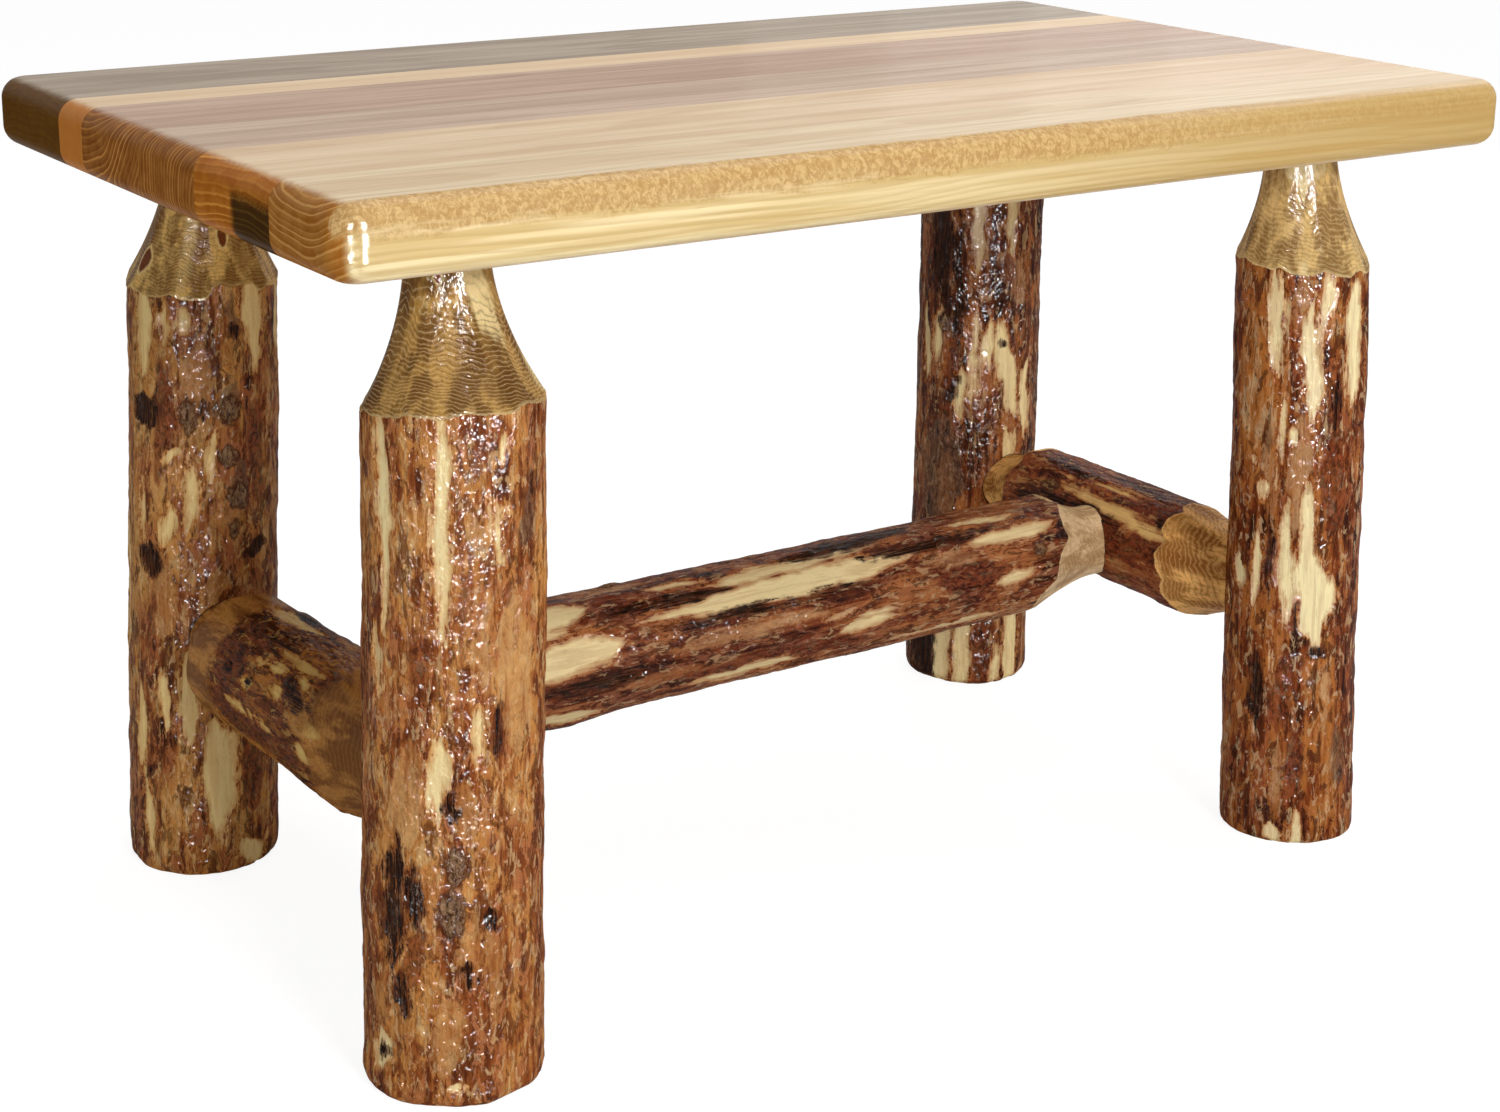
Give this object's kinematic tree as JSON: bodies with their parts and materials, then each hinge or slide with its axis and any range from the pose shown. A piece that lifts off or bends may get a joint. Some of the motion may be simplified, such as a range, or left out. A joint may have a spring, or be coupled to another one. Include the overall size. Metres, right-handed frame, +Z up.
{
  "type": "log ottoman",
  "caption": "Low rustic bench or ottoman: an edge-glued plank top with rounded edges on barked log legs, joined by round log stretchers with shaved taper ends.",
  "frame": {"origin": "on the floor under the middle of the plank top", "axes": "+X along the length of the top, +Y from the front edge to the back edge, +Z up"},
  "size_m": [0.686, 0.41, 0.432],
  "materials": {
    "pine_golden": "glossy clear lacquer",
    "pine_stained": "glossy clear lacquer",
    "pine_brown": "glossy clear lacquer",
    "pine_reddish": "glossy clear lacquer",
    "pine_pale": "glossy clear lacquer",
    "pine_grey_brown": "glossy clear lacquer",
    "log_orange": "glossy clear lacquer",
    "log_brown": "glossy clear lacquer",
    "log_red_brown": "glossy clear lacquer",
    "log_dark": "glossy clear lacquer"
  },
  "bodies": {
    "root": {"board_1_front": "pine_golden", "board_2_stained": "pine_stained", "board_3": "pine_brown", "board_4": "pine_reddish", "board_5_narrow": "pine_pale", "board_6_back": "pine_grey_brown", "front_left_leg": "log_orange", "back_left_leg": "log_brown", "front_right_leg": "log_red_brown", "back_right_leg": "log_red_brown", "left_end_stretcher": "log_dark", "right_end_stretcher": "log_dark", "long_stretcher": "log_dark"}
  },
  "joints": []
}
